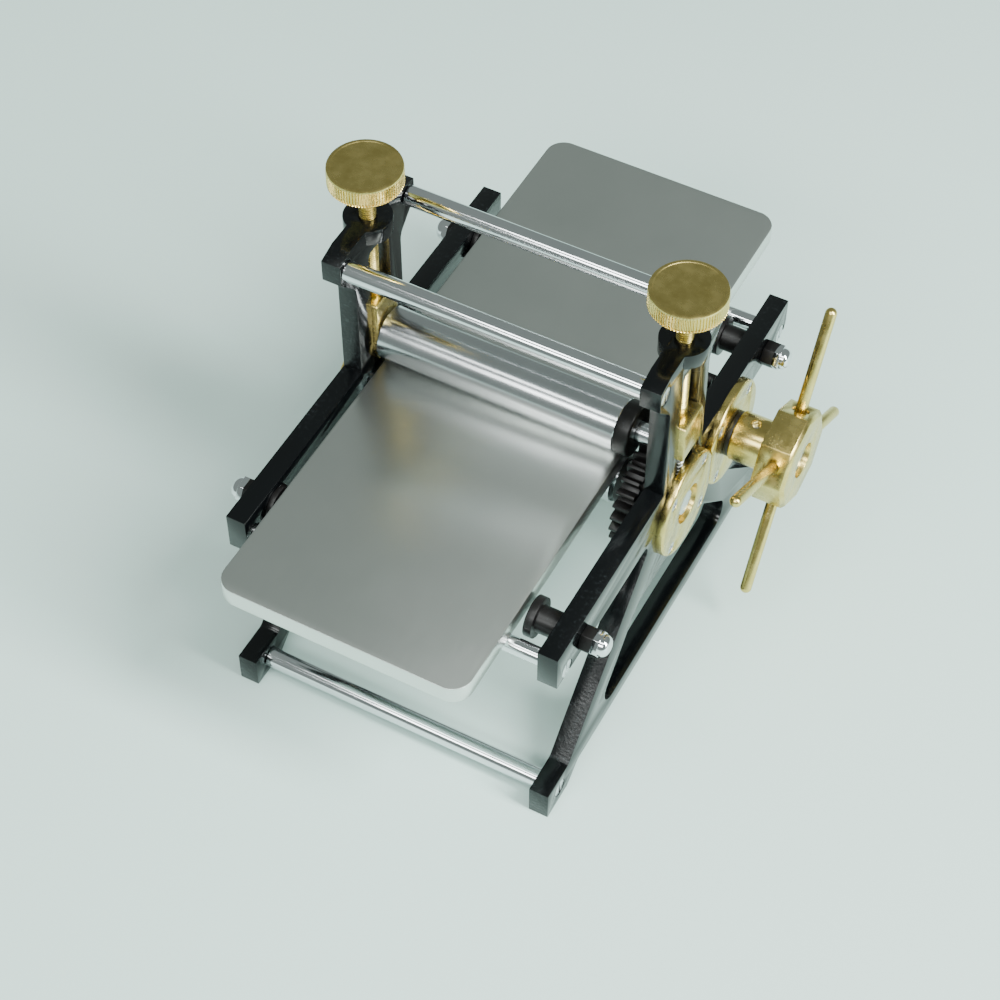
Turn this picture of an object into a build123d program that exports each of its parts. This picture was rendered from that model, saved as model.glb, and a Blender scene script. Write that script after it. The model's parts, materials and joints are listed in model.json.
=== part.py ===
"""Tabletop etching press: two cast side plates joined by tie rods, a flat bed nipped between
two steel rollers, screws and knobs that set the pressure, and a geared spoked handle.

Units are millimetres. X runs along the rollers, Y is the way the bed travels, Z is up.
While modelling, x = 0 is midway between the side plates and y = 0 is the plane of the rollers.
On export everything moves so that the origin is the bottom centre of the machine's box.
"""
import math
import os

from build123d import *

# ---- frame -------------------------------------------------------------------------------
INNER_WIDTH = 90.0          # between the side plates' inner faces
PLATE_THICKNESS = 6.0
FRAME_MID_Y = -4.6          # the legs stand evenly about this plane
FOOT_REACH = 74.5           # from the middle plane to the tip of a foot
FOOT_LENGTH = 12.1
FOOT_HEIGHT = 10.4
FOOT_RISE = 5.1             # height of the bottom bar over the floor
FOOT_RAMP = 6.5
LEG_REACH = 62.1            # from the middle plane to a leg's outer edge at the foot
LEG_WIDTH = 14.7            # measured level, on legs at 45 degrees
OPENING_TOP_Z = 37.5
OPENING_CORNER_R = 5.4
ARM_BOTTOM_Z = 59.5
ARM_TOP_Z = 72.0
ARM_FRONT_Y = -75.7
ARM_REAR_Y = 71.3
ARM_REAR_ROUND_R = 4.5
INNER_CORNER_R = 2.5

# ---- tower -------------------------------------------------------------------------------
TOWER_FRONT_Y = -12.7
TOWER_REAR_Y = 11.8
TOWER_TOP_Z = 122.5
LUG_REACH = 20.0
LUG_TOP_FLAT = 14.0
LUG_TOP_DROP = 1.7
LUG_BOTTOM_Z = 113.8
LUG_ROOT_Z = 106.0
SLOT_WIDTH = 11.2
SLOT_BOTTOM_Z = 65.5
SLOT_TOP_Z = 113.0
SLOT_CORNER_R = 2.0
BOSS_R = 7.0
BOSS_HEIGHT = 5.0

# ---- rollers and bed -----------------------------------------------------------------------
ROLLER_R = 8.0
BARREL_LEFT_X = -42.8
BARREL_RIGHT_X = 32.3
NIP_GAP = 0.1               # between each roller and the bed
BED_WIDTH = 76.3
BED_LENGTH = 199.0
BED_THICKNESS = 6.0
BED_BOTTOM_Z = 64.4
BED_MID_X = -4.4
BED_MID_Y = 3.4
BED_CORNER_R = 6.0
BED_EDGE_CHAMFER = 0.3
LOWER_JOURNAL_R = 4.0
UPPER_JOURNAL_R = 3.0
COLLAR_LENGTH = 4.4

# ---- gears ---------------------------------------------------------------------------------
GEAR_MODULE = 1.25
DRIVE_TEETH = 28
PINION_TEETH = 20
PRESSURE_ANGLE = math.radians(20.0)
TOOTH_THINNING = 0.08       # taken off each tooth's thickness for backlash
ROOT_CLEARANCE = 0.25       # of a module
FLANK_STEPS = 5
GEAR_LEFT_X = 37.6
GEAR_WIDTH = 5.4
GEAR_HUB_R = 7.5
GEAR_HUB_LENGTH = 4.2
SET_SCREW_R = 1.25

# ---- bearings ------------------------------------------------------------------------------
FLANGE_R = 16.3
FLANGE_THICKNESS = 2.4
FLANGE_GAP = 0.5            # between the two flanges that meet on the right plate
FLANGE_CHAMFER = 0.5
FLANGE_LOBE_MARGIN = 2.3    # plate left round the handle bearing's flange
BUSH_R = 7.5
RECESS_R = 6.2
RECESS_DEPTH = 1.6
FLANGE_SCREW_OFFSET = 9.6   # along Y and along Z from the bearing's axis
FLANGE_SCREW_HEAD_R = 1.9
FLANGE_SCREW_HEAD_H = 1.2
FLANGE_SCREW_R = 1.0
FLANGE_SCREW_LENGTH = 6.0

# ---- pressure blocks and screws ------------------------------------------------------------
BLOCK_PROUD = 1.8            # of a block beyond each face of its plate
BLOCK_LEG_THICKNESS = 4.0
BLOCK_TOP_Z = 93.0
BLOCK_STEP_Z = 80.0
BLOCK_BOTTOM_Z = 72.0
BLOCK_CHAMFER = 0.4
SPRING_R = 1.75
SPRING_WIRE_R = 0.35
SPRING_TURNS = 9
SPRING_LEG_GAP = 0.3
PRESSURE_SCREW_R = 2.4
SCREW_TIP_R = 1.5
SCREW_TIP_LENGTH = 4.0
KNOB_R = 10.65
KNOB_LIFT = 12.2              # of a knob above its plate
KNOB_HEIGHT = 6.0
KNOB_CHAMFER = 0.5
KNOB_SOCKET_DEPTH = 4.0

# ---- handle --------------------------------------------------------------------------------
HANDLE_SHAFT_R = 4.0
SHAFT_COLLAR_R = 7.0
SHAFT_COLLAR_LENGTH = 1.3
SLEEVE_R = 7.5
SLEEVE_LENGTH = 10.8
SLEEVE_HOLE_R = 1.5
HUB_INRADIUS = 14.0
HUB_LENGTH = 10.0
HUB_CHAMFER = 1.0
HUB_RECESS_R = 5.5
HUB_RECESS_DEPTH = 2.0
SPOKE_R = 1.72
SPOKE_TIP_RADIUS = 46.0
SPOKE_SEAT_DEPTH = 5.5
SPOKE_COUNTERBORE_R = 2.6
SPOKE_COUNTERBORE_DEPTH = 0.6
SPOKE_LEAN = 28.3           # degrees from straight up towards +Y
SPOKE_COUNT = 4

# ---- tie rods, guides and fasteners ----------------------------------------------------------
TOP_ROD_R = 3.0
TOP_ROD_Y = 16.7
TOP_ROD_Z = 117.2
ARM_ROD_R = 2.5
ARM_FRONT_ROD_MARGIN = 5.8  # from the arm's front end to its rod's axis
ARM_REAR_ROD_MARGIN = 4.0
ARM_ROD_BED_GAP = 0.2
FOOT_ROD_R = 3.0
FOOT_ROD_END_MARGIN = 7.4
FOOT_ROD_Z = 5.2
TIE_SCREW_R = 1.5
TIE_SCREW_LENGTH = 14.0
TIE_SCREW_HEAD_R = 2.6
TIE_SCREW_HEAD_H = 1.6
TIE_SCREW_HEAD_GAP = 0.2      # round the head in its counterbore
TIE_SCREW_SINK = 0.15         # of the head's face below the plate's
TIE_SCREW_SLOT_WIDTH = 0.8
TIE_SCREW_SLOT_DEPTH = 0.8
GUIDE_FRONT_Y = -60.2
GUIDE_REAR_Y = 56.5
GUIDE_Z = 64.0
GUIDE_BARREL_R = 4.0
GUIDE_FLANGE_R = 6.0
GUIDE_FLANGE_THICKNESS = 2.5
GUIDE_BED_GAP = 1.7
GUIDE_STUD_R = 2.0
HEX_NUT_FLATS = 7.0
HEX_NUT_HEIGHT = 3.4
ACORN_BASE_HEIGHT = 1.8
ACORN_DOME_R = 3.2
ACORN_DOME_HEIGHT = 2.6
ACORN_DOME_ROUND_R = 0.8 * ACORN_DOME_HEIGHT

# ---- fits ------------------------------------------------------------------------------------
FIT = 0.05                  # radial clearance of a shaft, screw or slide in its seat
FACE_GAP = 0.1              # between end faces that turn or slide past each other

# ---- places that follow from the sizes ---------------------------------------------------------
PLATE_INNER_X = INNER_WIDTH / 2
PLATE_OUTER_X = PLATE_INNER_X + PLATE_THICKNESS
PLATE_MID_X = PLATE_INNER_X + PLATE_THICKNESS / 2
BED_TOP_Z = BED_BOTTOM_Z + BED_THICKNESS
BED_RIGHT_X = BED_MID_X + BED_WIDTH / 2
LOWER_AXIS_Z = BED_BOTTOM_Z - NIP_GAP - ROLLER_R
UPPER_AXIS_Z = BED_TOP_Z + NIP_GAP + ROLLER_R
GEAR_CENTRES = GEAR_MODULE * (DRIVE_TEETH + PINION_TEETH) / 2
HANDLE_Y = GEAR_CENTRES
FLANGE_OUTER_X = PLATE_OUTER_X + FLANGE_THICKNESS
KNOB_BOTTOM_Z = TOWER_TOP_Z + KNOB_LIFT
TIE_SCREW_SEAT_X = PLATE_OUTER_X - TIE_SCREW_SINK - TIE_SCREW_HEAD_H
SLEEVE_START_X = FLANGE_OUTER_X + FACE_GAP + SHAFT_COLLAR_LENGTH
HUB_START_X = SLEEVE_START_X + SLEEVE_LENGTH
HUB_END_X = HUB_START_X + HUB_LENGTH
BLOCK_INNER_X = PLATE_INNER_X - BLOCK_PROUD
BLOCK_OUTER_X = PLATE_OUTER_X + BLOCK_PROUD
BLOCK_LEG_X = BLOCK_INNER_X + BLOCK_LEG_THICKNESS
JOURNAL_END_X = BLOCK_LEG_X - 2 * FACE_GAP
SPRING_X = BLOCK_LEG_X + SPRING_LEG_GAP + SPRING_R
ARM_ROD_Z = BED_BOTTOM_Z - ARM_ROD_BED_GAP - ARM_ROD_R
GUIDE_INNER_X = BED_RIGHT_X + GUIDE_BED_GAP
HEX_NUT_OUTER_X = PLATE_OUTER_X + HEX_NUT_HEIGHT
STUD_END_X = HEX_NUT_OUTER_X + ACORN_BASE_HEIGHT
ACORN_END_X = STUD_END_X + ACORN_DOME_HEIGHT
ORIGIN_X = (HUB_END_X - ACORN_END_X) / 2
ORIGIN_Y = BED_MID_Y


# ---- shape helpers -----------------------------------------------------------------------------
def rod_x(x0, x1, y, z, radius):
    """A round bar along X."""
    return Pos((x0 + x1) / 2, y, z) * Rot(0, 90, 0) * Cylinder(radius, x1 - x0)


def rod_z(z0, z1, x, y, radius):
    """A round bar along Z."""
    return Pos(x, y, (z0 + z1) / 2) * Cylinder(radius, z1 - z0)


def block(x0, x1, y0, y1, z0, z1):
    """A rectangular block between two corners."""
    return Pos((x0 + x1) / 2, (y0 + y1) / 2, (z0 + z1) / 2) * Box(x1 - x0, y1 - y0, z1 - z0)


def prism_x(x0, x1, outline):
    """An outline drawn in Y and Z, pushed along X."""
    return extrude(Plane.YZ.offset(x0) * outline, amount=x1 - x0)


def outline_of(points):
    """A closed outline through corner points."""
    return make_face(Polyline(*points, close=True))


def rounded_at(outline, corners, radius):
    """The outline with the corners nearest to the given points rounded."""
    picked = []
    for corner in corners:
        picked.append(min(outline.vertices(), key=lambda v: math.dist((v.X, v.Y), corner)))
    return fillet(picked, radius)


def hexagon_x(x0, x1, y, z, flats):
    """A hexagonal prism along X, two flats level with the floor."""
    return prism_x(x0, x1, Pos(y, z) * RegularPolygon(flats / 2, 6, major_radius=False))


def both_sides(solid):
    """A right-hand piece and its mirror image on the left."""
    return [solid, mirror(solid, about=Plane.YZ)]


# ---- side plates -------------------------------------------------------------------------------
def leg_line_y(z, reach, side):
    """Y on the 45 degree edge that starts at the foot's top, reach from the middle plane."""
    return FRAME_MID_Y + side * (reach - (z - FOOT_HEIGHT))


def outer_outline():
    """The plate's outside edge, without the tower's lugs."""
    tip = FOOT_REACH
    heel = FOOT_REACH - FOOT_LENGTH
    bar = heel - FOOT_RAMP
    front_armpit = (leg_line_y(ARM_BOTTOM_Z, LEG_REACH, -1), ARM_BOTTOM_Z)
    rear_armpit = (leg_line_y(ARM_BOTTOM_Z, LEG_REACH, 1), ARM_BOTTOM_Z)
    front_ankle = (FRAME_MID_Y - LEG_REACH, FOOT_HEIGHT)
    rear_ankle = (FRAME_MID_Y + LEG_REACH, FOOT_HEIGHT)
    arm_heel = (ARM_REAR_Y, ARM_BOTTOM_Z)
    points = [
        (FRAME_MID_Y - tip, 0), (FRAME_MID_Y - heel, 0), (FRAME_MID_Y - bar, FOOT_RISE),
        (FRAME_MID_Y + bar, FOOT_RISE), (FRAME_MID_Y + heel, 0), (FRAME_MID_Y + tip, 0),
        (FRAME_MID_Y + tip, FOOT_HEIGHT), rear_ankle, rear_armpit,
        arm_heel, (ARM_REAR_Y, ARM_TOP_Z), (ARM_FRONT_Y, ARM_TOP_Z), (ARM_FRONT_Y, ARM_BOTTOM_Z),
        front_armpit, front_ankle, (FRAME_MID_Y - tip, FOOT_HEIGHT),
    ]
    corners = [front_armpit, front_ankle, rear_ankle]
    outline = rounded_at(outline_of(points), corners, INNER_CORNER_R)
    return rounded_at(outline, [arm_heel], ARM_REAR_ROUND_R)


def tower_outline():
    """The tower over the arm, with a lug for a tie rod at the front and at the rear."""
    lug_top_z = TOWER_TOP_Z - LUG_TOP_DROP
    front_foot = (TOWER_FRONT_Y, ARM_TOP_Z - INNER_CORNER_R)
    rear_foot = (TOWER_REAR_Y, ARM_TOP_Z - INNER_CORNER_R)
    points = [
        front_foot, rear_foot,
        (TOWER_REAR_Y, LUG_ROOT_Z), (LUG_REACH, LUG_BOTTOM_Z), (LUG_REACH, lug_top_z),
        (LUG_TOP_FLAT, TOWER_TOP_Z), (-LUG_TOP_FLAT, TOWER_TOP_Z), (-LUG_REACH, lug_top_z),
        (-LUG_REACH, LUG_BOTTOM_Z), (TOWER_FRONT_Y, LUG_ROOT_Z),
    ]
    corners = [(TOWER_REAR_Y, LUG_ROOT_Z), (TOWER_FRONT_Y, LUG_ROOT_Z)]
    return rounded_at(outline_of(points), corners, 2 * INNER_CORNER_R)


def leg_opening():
    """The window between the legs: level top and bottom, sides at 45 degrees."""
    inner_reach = LEG_REACH - LEG_WIDTH
    points = [
        (leg_line_y(FOOT_HEIGHT, inner_reach, -1), FOOT_HEIGHT),
        (leg_line_y(FOOT_HEIGHT, inner_reach, 1), FOOT_HEIGHT),
        (leg_line_y(OPENING_TOP_Z, inner_reach, 1), OPENING_TOP_Z),
        (leg_line_y(OPENING_TOP_Z, inner_reach, -1), OPENING_TOP_Z),
    ]
    return rounded_at(outline_of(points), points, OPENING_CORNER_R)


def block_slot():
    """The slot that the pressure block slides in, with rounded upper corners."""
    half = SLOT_WIDTH / 2
    top_corners = [(half, SLOT_TOP_Z), (-half, SLOT_TOP_Z)]
    points = [(-half, SLOT_BOTTOM_Z), (half, SLOT_BOTTOM_Z)] + top_corners
    return rounded_at(outline_of(points), top_corners, SLOT_CORNER_R)


def tie_rod_places():
    """Name, radius, y and z of each tie rod."""
    foot_y = FOOT_REACH - FOOT_ROD_END_MARGIN
    return [
        ("top_front", TOP_ROD_R, -TOP_ROD_Y, TOP_ROD_Z),
        ("top_rear", TOP_ROD_R, TOP_ROD_Y, TOP_ROD_Z),
        ("arm_front", ARM_ROD_R, ARM_FRONT_Y + ARM_FRONT_ROD_MARGIN, ARM_ROD_Z),
        ("arm_rear", ARM_ROD_R, ARM_REAR_Y - ARM_REAR_ROD_MARGIN, ARM_ROD_Z),
        ("foot_front", FOOT_ROD_R, FRAME_MID_Y - foot_y, FOOT_ROD_Z),
        ("foot_rear", FOOT_ROD_R, FRAME_MID_Y + foot_y, FOOT_ROD_Z),
    ]


def flange_screw_places(axis_y):
    """The four screws round a bearing's axis."""
    return [
        (axis_y + dy * FLANGE_SCREW_OFFSET, LOWER_AXIS_Z + dz * FLANGE_SCREW_OFFSET)
        for dy in (-1, 1)
        for dz in (-1, 1)
    ]


def side_plate(bearing_axes):
    """The right-hand plate, bored for bearings at the given Y places."""
    lobe = Pos(HANDLE_Y, LOWER_AXIS_Z) * Circle(FLANGE_R + FLANGE_LOBE_MARGIN)
    above_arm = Pos(HANDLE_Y, ARM_TOP_Z + FLANGE_R) * Rectangle(4 * FLANGE_R, 2 * FLANGE_R)
    outline = outer_outline() + (lobe - above_arm) - leg_opening()
    outline = outline + tower_outline() - block_slot()
    plate = prism_x(PLATE_INNER_X, PLATE_OUTER_X, outline)
    plate += rod_z(TOWER_TOP_Z - BOSS_HEIGHT, TOWER_TOP_Z, PLATE_MID_X, 0, BOSS_R)
    plate -= rod_z(SLOT_TOP_Z - 1, TOWER_TOP_Z + 1, PLATE_MID_X, 0, PRESSURE_SCREW_R + FIT)
    holes = [(y, z, TIE_SCREW_R + FIT) for _, _, y, z in tie_rod_places()]
    holes += [(y, GUIDE_Z, GUIDE_STUD_R + FIT) for y in (GUIDE_FRONT_Y, GUIDE_REAR_Y)]
    for axis_y in bearing_axes:
        holes.append((axis_y, LOWER_AXIS_Z, BUSH_R + FIT))
        holes += [(y, z, FLANGE_SCREW_R + FIT) for y, z in flange_screw_places(axis_y)]
    for y, z, radius in holes:
        plate -= rod_x(PLATE_INNER_X - 1, PLATE_OUTER_X + 1, y, z, radius)
    for _, _, y, z in tie_rod_places():
        plate -= rod_x(TIE_SCREW_SEAT_X, PLATE_OUTER_X + 1, y, z, TIE_SCREW_HEAD_R + TIE_SCREW_HEAD_GAP)
    return plate


# ---- tie rods ----------------------------------------------------------------------------------
def tie_rod(radius, y, z):
    """A bar between the plates, tapped at both ends."""
    bar = rod_x(-PLATE_INNER_X, PLATE_INNER_X, y, z, radius)
    tapped = TIE_SCREW_LENGTH - PLATE_THICKNESS + 1
    for hole in both_sides(rod_x(PLATE_INNER_X - tapped, PLATE_INNER_X, y, z, TIE_SCREW_R + FIT)):
        bar -= hole
    return bar


def tie_screw(y, z):
    """A slotted screw sunk in the right plate's outer face, into a tie rod."""
    head_end = TIE_SCREW_SEAT_X + TIE_SCREW_HEAD_H
    screw = rod_x(TIE_SCREW_SEAT_X, head_end, y, z, TIE_SCREW_HEAD_R)
    screw += rod_x(PLATE_OUTER_X - TIE_SCREW_LENGTH, TIE_SCREW_SEAT_X, y, z, TIE_SCREW_R)
    half_slot = TIE_SCREW_SLOT_WIDTH / 2
    reach = TIE_SCREW_HEAD_R + 1
    bottom_x = head_end - TIE_SCREW_SLOT_DEPTH
    return screw - block(bottom_x, head_end + 1, y - half_slot, y + half_slot, z - reach, z + reach)


# ---- bearings ----------------------------------------------------------------------------------
def flange_trim(axis_y):
    """The part of a flange's disc that would cross the middle between the two axes."""
    middle = HANDLE_Y / 2
    toward = 1 if axis_y < middle else -1
    cut_edge = middle - toward * FLANGE_GAP / 2
    far_edge = cut_edge + toward * FLANGE_R
    low, high = min(cut_edge, far_edge), max(cut_edge, far_edge)
    span = FLANGE_R + 1
    return block(PLATE_OUTER_X - 1, FLANGE_OUTER_X + 1, low, high, LOWER_AXIS_Z - span, LOWER_AXIS_Z + span)


def flanged_bearing(axis_y, shaft_r, recessed, trimmed):
    """A bush in the right plate with a flange against the plate's outer face."""
    disc = rod_x(PLATE_OUTER_X, FLANGE_OUTER_X, axis_y, LOWER_AXIS_Z, FLANGE_R)
    disc = chamfer(disc.edges().filter_by(GeomType.CIRCLE).sort_by(Axis.X)[-1], FLANGE_CHAMFER)
    bearing = disc + rod_x(PLATE_INNER_X, PLATE_OUTER_X, axis_y, LOWER_AXIS_Z, BUSH_R)
    bearing -= rod_x(PLATE_INNER_X - 1, FLANGE_OUTER_X + 1, axis_y, LOWER_AXIS_Z, shaft_r + FIT)
    if recessed:
        bearing -= rod_x(FLANGE_OUTER_X - RECESS_DEPTH, FLANGE_OUTER_X + 1, axis_y, LOWER_AXIS_Z, RECESS_R)
    for y, z in flange_screw_places(axis_y):
        bearing -= rod_x(PLATE_OUTER_X - 1, FLANGE_OUTER_X + 1, y, z, FLANGE_SCREW_R + FIT)
        head_seat = FLANGE_OUTER_X - FLANGE_SCREW_HEAD_H - FACE_GAP
        bearing -= rod_x(head_seat, FLANGE_OUTER_X + 1, y, z, FLANGE_SCREW_HEAD_R + FIT)
    if trimmed:
        bearing -= flange_trim(axis_y)
    return bearing


def flange_screw(y, z):
    """A small cap screw sunk in a flange of the right plate."""
    head_seat = FLANGE_OUTER_X - FLANGE_SCREW_HEAD_H - FACE_GAP
    head = rod_x(head_seat, head_seat + FLANGE_SCREW_HEAD_H, y, z, FLANGE_SCREW_HEAD_R)
    head += rod_x(head_seat - FLANGE_SCREW_LENGTH, head_seat, y, z, FLANGE_SCREW_R)
    socket_x = head_seat + FLANGE_SCREW_HEAD_H / 3
    return head - hexagon_x(socket_x, FLANGE_OUTER_X, y, z, FLANGE_SCREW_HEAD_R)


# ---- bed and its guides --------------------------------------------------------------------------
def bed():
    """The flat plate that carries the work through the nip."""
    plate = Pos(BED_MID_X, BED_MID_Y, BED_BOTTOM_Z + BED_THICKNESS / 2) * Box(
        BED_WIDTH, BED_LENGTH, BED_THICKNESS
    )
    plate = fillet(plate.edges().filter_by(Axis.Z), BED_CORNER_R)
    rims = plate.faces().sort_by(Axis.Z)[-1].edges() + plate.faces().sort_by(Axis.Z)[0].edges()
    return chamfer(rims, BED_EDGE_CHAMFER)


def long_guide(y):
    """A right-hand guide: a barrel from the plate and a flange beside the bed's edge."""
    guide = rod_x(GUIDE_INNER_X, PLATE_INNER_X, y, GUIDE_Z, GUIDE_BARREL_R)
    guide += rod_x(GUIDE_INNER_X, GUIDE_INNER_X + GUIDE_FLANGE_THICKNESS, y, GUIDE_Z, GUIDE_FLANGE_R)
    return guide - rod_x(GUIDE_INNER_X + 1, PLATE_INNER_X + 1, y, GUIDE_Z, GUIDE_STUD_R + FIT)


def short_guide(y):
    """A left-hand guide: a plain button on the plate, as far from the bed as the plate allows."""
    bed_left_x = BED_MID_X - BED_WIDTH / 2
    thickness = PLATE_INNER_X + bed_left_x - GUIDE_BED_GAP / 2
    guide = rod_x(-PLATE_INNER_X, -PLATE_INNER_X + thickness, y, GUIDE_Z, GUIDE_FLANGE_R)
    return guide - rod_x(-PLATE_INNER_X - 1, -PLATE_INNER_X + thickness / 2, y, GUIDE_Z, GUIDE_STUD_R + FIT)


def guide_studs(y):
    """The stud of the long guide and the stud of the short one."""
    bed_left_x = BED_MID_X - BED_WIDTH / 2
    short_depth = (PLATE_INNER_X + bed_left_x - GUIDE_BED_GAP / 2) / 2
    long_stud = rod_x(GUIDE_INNER_X + 1, STUD_END_X, y, GUIDE_Z, GUIDE_STUD_R)
    short_stud = rod_x(-STUD_END_X, -PLATE_INNER_X + short_depth, y, GUIDE_Z, GUIDE_STUD_R)
    return [long_stud, short_stud]


def hex_nut(y):
    """The nut that holds a right-hand stud in the plate."""
    nut = hexagon_x(PLATE_OUTER_X, HEX_NUT_OUTER_X, y, GUIDE_Z, HEX_NUT_FLATS)
    return nut - rod_x(PLATE_OUTER_X - 1, HEX_NUT_OUTER_X + 1, y, GUIDE_Z, GUIDE_STUD_R + FIT)


def acorn_nut(y):
    """The domed nut over the end of a right-hand stud."""
    dome = rod_x(STUD_END_X, ACORN_END_X, y, GUIDE_Z, ACORN_DOME_R)
    rim = dome.edges().filter_by(GeomType.CIRCLE).sort_by(Axis.X)[-1]
    dome = fillet(rim, ACORN_DOME_ROUND_R)
    nut = dome + hexagon_x(HEX_NUT_OUTER_X, STUD_END_X, y, GUIDE_Z, HEX_NUT_FLATS)
    return nut - rod_x(HEX_NUT_OUTER_X - 1, STUD_END_X, y, GUIDE_Z, GUIDE_STUD_R + FIT)


# ---- rollers and gears ---------------------------------------------------------------------------
def lower_roller():
    """The driven roller under the bed, with a journal at each end."""
    roller = rod_x(BARREL_LEFT_X, BARREL_RIGHT_X, 0, LOWER_AXIS_Z, ROLLER_R)
    journal_end = FLANGE_OUTER_X - RECESS_DEPTH / 2
    return roller + rod_x(-journal_end, journal_end, 0, LOWER_AXIS_Z, LOWER_JOURNAL_R)


def upper_roller():
    """The pressing roller over the bed, with a thinner journal at each end."""
    roller = rod_x(BARREL_LEFT_X, BARREL_RIGHT_X, 0, UPPER_AXIS_Z, ROLLER_R)
    return roller + rod_x(-JOURNAL_END_X, JOURNAL_END_X, 0, UPPER_AXIS_Z, UPPER_JOURNAL_R)


def upper_collar():
    """The dark collar on the upper roller's right-hand journal."""
    x0 = BARREL_RIGHT_X
    collar = rod_x(x0, x0 + COLLAR_LENGTH, 0, UPPER_AXIS_Z, ROLLER_R)
    collar = chamfer(collar.edges().filter_by(GeomType.CIRCLE).sort_by(Axis.X)[-1], KNOB_CHAMFER)
    return collar - rod_x(x0 - 1, x0 + COLLAR_LENGTH + 1, 0, UPPER_AXIS_Z, UPPER_JOURNAL_R + FIT)


def involute(angle):
    """How far the involute curve has turned at a pressure angle."""
    return math.tan(angle) - angle


def gear_outline(teeth, turn):
    """An involute spur gear's outline about its own centre, its first tooth at the given turn."""
    pitch_r = GEAR_MODULE * teeth / 2
    base_r = pitch_r * math.cos(PRESSURE_ANGLE)
    tip_r = pitch_r + GEAR_MODULE
    root_r = pitch_r - GEAR_MODULE * (1 + ROOT_CLEARANCE)
    half_at_pitch = math.pi / (2 * teeth) - TOOTH_THINNING / (2 * pitch_r)
    start_r = max(base_r, root_r)
    flank = [start_r + (tip_r - start_r) * i / (FLANK_STEPS - 1) for i in range(FLANK_STEPS)]
    half_at_base = half_at_pitch + involute(PRESSURE_ANGLE)
    half_angles = [half_at_base - involute(math.acos(base_r / r)) for r in flank]
    side = [(root_r, half_angles[0])] + list(zip(flank, half_angles))
    points = []
    for tooth in range(teeth):
        middle = turn + 2 * math.pi * tooth / teeth
        for radius, half in side:
            points.append((radius * math.cos(middle - half), radius * math.sin(middle - half)))
        for radius, half in reversed(side):
            points.append((radius * math.cos(middle + half), radius * math.sin(middle + half)))
    return outline_of(points)


def hubbed_gear(teeth, turn, axis_y, shaft_r):
    """A spur gear with a hub on its left and a tapped hole on top of the hub."""
    hub_x = GEAR_LEFT_X - GEAR_HUB_LENGTH
    profile = Pos(axis_y, LOWER_AXIS_Z) * gear_outline(teeth, turn)
    gear = prism_x(GEAR_LEFT_X, GEAR_LEFT_X + GEAR_WIDTH, profile)
    gear += rod_x(hub_x, GEAR_LEFT_X, axis_y, LOWER_AXIS_Z, GEAR_HUB_R)
    gear -= rod_x(hub_x - 1, GEAR_LEFT_X + GEAR_WIDTH + 1, axis_y, LOWER_AXIS_Z, shaft_r + FIT)
    hole_x = hub_x + GEAR_HUB_LENGTH / 2
    return gear - rod_z(LOWER_AXIS_Z, LOWER_AXIS_Z + GEAR_HUB_R + 1, hole_x, axis_y, SET_SCREW_R + FIT)


def gear_set_screw(axis_y, shaft_r):
    """The grub screw in a gear's hub, bearing on its shaft."""
    x = GEAR_LEFT_X - GEAR_HUB_LENGTH / 2
    return rod_z(LOWER_AXIS_Z + shaft_r + FIT, LOWER_AXIS_Z + GEAR_HUB_R - 2 * FIT, x, axis_y, SET_SCREW_R)


# ---- pressure ------------------------------------------------------------------------------------
def pressure_block():
    """The right-hand block: it fills the slot and holds the upper roller's journal in its inner leg."""
    half = SLOT_WIDTH / 2 - FIT
    solid = block(BLOCK_INNER_X, BLOCK_OUTER_X, -half, half, BLOCK_STEP_Z, BLOCK_TOP_Z)
    solid = chamfer(solid.faces().sort_by(Axis.Z)[-1].edges(), BLOCK_CHAMFER)
    solid += block(BLOCK_INNER_X, BLOCK_LEG_X, -half, half, BLOCK_BOTTOM_Z, BLOCK_STEP_Z)
    solid -= rod_x(BLOCK_INNER_X - 1, BLOCK_LEG_X, 0, UPPER_AXIS_Z, UPPER_JOURNAL_R + FIT)
    tip_bottom = BLOCK_TOP_Z - SCREW_TIP_LENGTH - FACE_GAP
    return solid - rod_z(tip_bottom, BLOCK_TOP_Z + 1, PLATE_MID_X, 0, SCREW_TIP_R + FIT)


def lift_spring():
    """The coil spring under the right-hand block's step."""
    bottom = SLOT_BOTTOM_Z + SPRING_WIRE_R + FIT
    height = BLOCK_STEP_Z - FIT - SPRING_WIRE_R - bottom
    path = Pos(SPRING_X, 0, bottom) * Helix(height / SPRING_TURNS, height, SPRING_R - SPRING_WIRE_R)
    section = Plane(path @ 0, z_dir=path % 0) * Circle(SPRING_WIRE_R)
    return sweep(section, path=path)


def pressure_screw():
    """The right-hand screw, from the block through the tower's boss into the knob."""
    top = KNOB_BOTTOM_Z + KNOB_SOCKET_DEPTH
    screw = rod_z(BLOCK_TOP_Z + FIT, top, PLATE_MID_X, 0, PRESSURE_SCREW_R)
    return screw + rod_z(BLOCK_TOP_Z - SCREW_TIP_LENGTH, BLOCK_TOP_Z + FIT, PLATE_MID_X, 0, SCREW_TIP_R)


def pressure_knob():
    """The round knob on the right-hand screw."""
    knob = rod_z(KNOB_BOTTOM_Z, KNOB_BOTTOM_Z + KNOB_HEIGHT, PLATE_MID_X, 0, KNOB_R)
    knob = chamfer(knob.edges().filter_by(GeomType.CIRCLE), KNOB_CHAMFER)
    socket_top = KNOB_BOTTOM_Z + KNOB_SOCKET_DEPTH + FIT
    return knob - rod_z(KNOB_BOTTOM_Z - 1, socket_top, PLATE_MID_X, 0, PRESSURE_SCREW_R + FIT)


# ---- handle --------------------------------------------------------------------------------------
def handle_shaft():
    """The shaft from the pinion out to the handle's hub."""
    start = GEAR_LEFT_X - GEAR_HUB_LENGTH - FACE_GAP
    return rod_x(start, HUB_END_X - HUB_RECESS_DEPTH + 1, HANDLE_Y, LOWER_AXIS_Z, HANDLE_SHAFT_R)


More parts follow.
